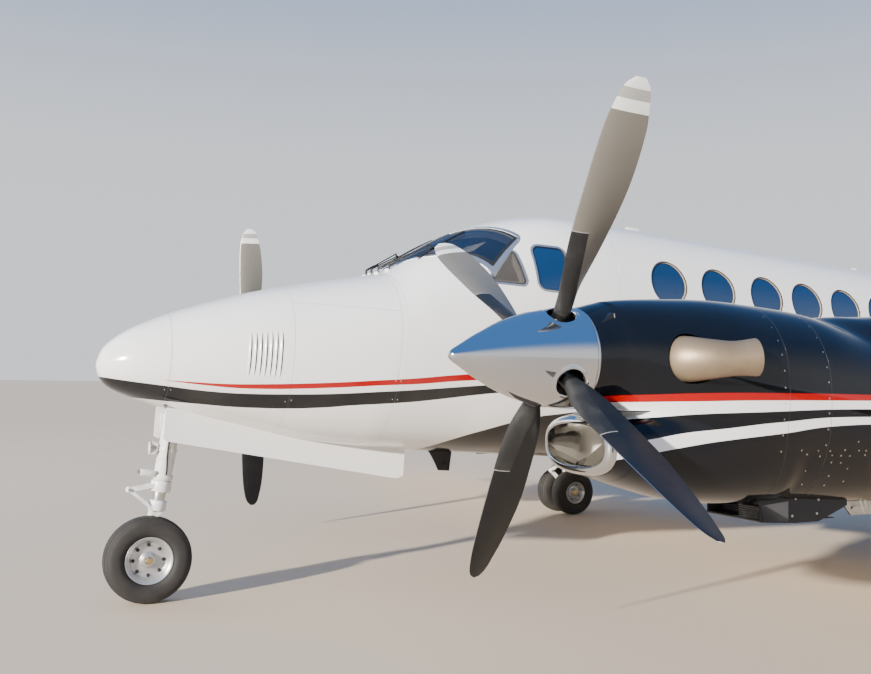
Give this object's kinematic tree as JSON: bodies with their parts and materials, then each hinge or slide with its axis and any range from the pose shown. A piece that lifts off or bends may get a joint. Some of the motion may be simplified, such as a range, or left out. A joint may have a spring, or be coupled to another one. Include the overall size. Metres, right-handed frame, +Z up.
{
  "type": "turboprop business plane",
  "caption": "Low-wing business plane with twin turboprops, T-tail, winglets, cabin windows, an airstair door and tricycle gear, parked on its wheels.",
  "frame": {"origin": "middle of the bounding box's footprint, on the ground that the tyres stand on", "axes": "+X forward along the thrust lines, +Y to the plane's left, +Z up; the cabin sits 3.5 degrees nose up"},
  "size_m": [14.2166, 17.6508, 4.3491],
  "materials": {
    "white": "gloss white enamel",
    "black": "gloss black enamel",
    "chrome": "mirror polished",
    "glass": "clear and tinted panes",
    "blade": "satin taupe grey and matte black",
    "exhaust": "heat-tanned metal",
    "steel": "satin",
    "tyre": "worn rubber",
    "trim": "matte",
    "leather": "soft sheen"
  },
  "bodies": {
    "airframe": {"nose_cone": "white", "nose_section": "white", "cockpit_section": "white", "cabin_section": "white", "tail_section": "white", "windshield_left": "glass", "windshield_right": "glass", "cockpit_glass_left": "glass", "cockpit_glass_right": "glass", "cabin_glass_left": "glass", "cabin_glass_right": "glass", "cabin_floor": "trim", "crew_seat_left": "leather", "crew_seat_right": "leather", "passenger_seats_left": "leather", "passenger_seats_right": "leather", "instrument_panel": "trim", "wing_center": "white", "wing_left": "white", "wing_right": "white", "fin": "white", "tailplane": "white", "nose_door_left": "white", "nose_door_right": "white", "nacelle_left": "black", "nacelle_right": "black", "intake_lip_left": "chrome", "intake_lip_right": "chrome", "exhaust_outboard_left": "exhaust", "exhaust_outboard_right": "exhaust", "exhaust_inboard_left": "exhaust", "exhaust_inboard_right": "exhaust", "engine_left": "steel", "engine_right": "steel", "nose_leg": "white", "main_leg_left": "white", "main_leg_right": "white", "main_door_outboard_left": "black", "main_door_outboard_right": "black", "main_door_inboard_left": "black", "main_door_inboard_right": "black"},
    "propeller_left": {"propeller_left": "blade", "spinner_left": "chrome"},
    "propeller_right": {"propeller_right": "blade", "spinner_right": "chrome"},
    "main_wheels_left": {"main_wheels_left": "tyre"},
    "main_wheels_right": {"main_wheels_right": "tyre"},
    "nose_fork": {"nose_fork": "white"},
    "nose_wheel": {"nose_wheel": "tyre"},
    "aileron_left": {"aileron_left": "white"},
    "aileron_right": {"aileron_right": "white"},
    "flap_inboard_left": {"flap_inboard_left": "white"},
    "flap_inboard_right": {"flap_inboard_right": "white"},
    "flap_outboard_left": {"flap_outboard_left": "white"},
    "flap_outboard_right": {"flap_outboard_right": "white"},
    "elevator": {"elevator_left": "white", "elevator_right": "white"},
    "rudder": {"rudder": "white"},
    "airstair_door": {"airstair_door": "white"}
  },
  "joints": [
    {"name": "propeller_left_spin", "type": "hinge", "parent": "airframe", "child": "propeller_left", "pos_m": [5.39662, 2.615, 1.586], "axis": [1, 0, 0], "continuous": true},
    {"name": "main_wheels_left_roll", "type": "hinge", "parent": "airframe", "child": "main_wheels_left", "pos_m": [1.76962, 2.615, 0.2415], "axis": [0, 1, 0], "continuous": true},
    {"name": "aileron_left_hinge", "type": "hinge", "parent": "airframe", "child": "aileron_left", "pos_m": [1.30819, 5.562, 1.38771], "axis": [0.0737, 0.991, 0.112], "range_deg": [-20, 20]},
    {"name": "flap_inboard_left_hinge", "type": "hinge", "parent": "airframe", "child": "flap_inboard_left", "pos_m": [1.19271, 0.87, 0.77771], "axis": [0.0064, -0.9945, -0.1043], "range_deg": [0, 35]},
    {"name": "flap_outboard_left_hinge", "type": "hinge", "parent": "airframe", "child": "flap_outboard_left", "pos_m": [1.18064, 3.133, 1.01592], "axis": [-0.0675, -0.9897, -0.1263], "range_deg": [0, 35]},
    {"name": "propeller_right_spin", "type": "hinge", "parent": "airframe", "child": "propeller_right", "pos_m": [5.39662, -2.615, 1.586], "axis": [1, 0, 0], "continuous": true},
    {"name": "main_wheels_right_roll", "type": "hinge", "parent": "airframe", "child": "main_wheels_right", "pos_m": [1.76962, -2.615, 0.2415], "axis": [0, 1, 0], "continuous": true},
    {"name": "aileron_right_hinge", "type": "hinge", "parent": "airframe", "child": "aileron_right", "pos_m": [1.30819, -5.562, 1.38771], "axis": [-0.0737, 0.991, -0.112], "range_deg": [-20, 20]},
    {"name": "flap_inboard_right_hinge", "type": "hinge", "parent": "airframe", "child": "flap_inboard_right", "pos_m": [1.19271, -0.87, 0.77771], "axis": [-0.0064, -0.9945, 0.1043], "range_deg": [0, 35]},
    {"name": "flap_outboard_right_hinge", "type": "hinge", "parent": "airframe", "child": "flap_outboard_right", "pos_m": [1.18064, -3.133, 1.01592], "axis": [0.0675, -0.9897, 0.1263], "range_deg": [0, 35]},
    {"name": "elevator_hinge", "type": "hinge", "parent": "airframe", "child": "elevator", "pos_m": [-6.69117, 0, 4.19802], "axis": [0, 1, 0], "range_deg": [-14, 20]},
    {"name": "rudder_hinge", "type": "hinge", "parent": "airframe", "child": "rudder", "pos_m": [-5.90722, 0, 2.21218], "axis": [-0.3039, 0, 0.9527], "range_deg": [-25, 25]},
    {"name": "airstair_door_hinge", "type": "hinge", "parent": "airframe", "child": "airstair_door", "pos_m": [-0.40189, 0.665, 0.96224], "axis": [-0.9981, 0, -0.061], "range_deg": [0, 122]},
    {"name": "nose_steering", "type": "hinge", "parent": "airframe", "child": "nose_fork", "pos_m": [6.74962, 0, 0.279], "axis": [-0.1478, 0, 0.989], "range_deg": [-48, 48]},
    {"name": "nose_wheel_roll", "type": "hinge", "parent": "nose_fork", "child": "nose_wheel", "pos_m": [6.74962, 0, 0.279], "axis": [0, 1, 0], "continuous": true}
  ],
  "couplings": [
    {"joint": "aileron_right_hinge", "follows": "aileron_left_hinge", "ratio": -1},
    {"joint": "flap_inboard_right_hinge", "follows": "flap_inboard_left_hinge", "ratio": 1},
    {"joint": "flap_outboard_left_hinge", "follows": "flap_inboard_left_hinge", "ratio": 1},
    {"joint": "flap_outboard_right_hinge", "follows": "flap_inboard_left_hinge", "ratio": 1}
  ]
}
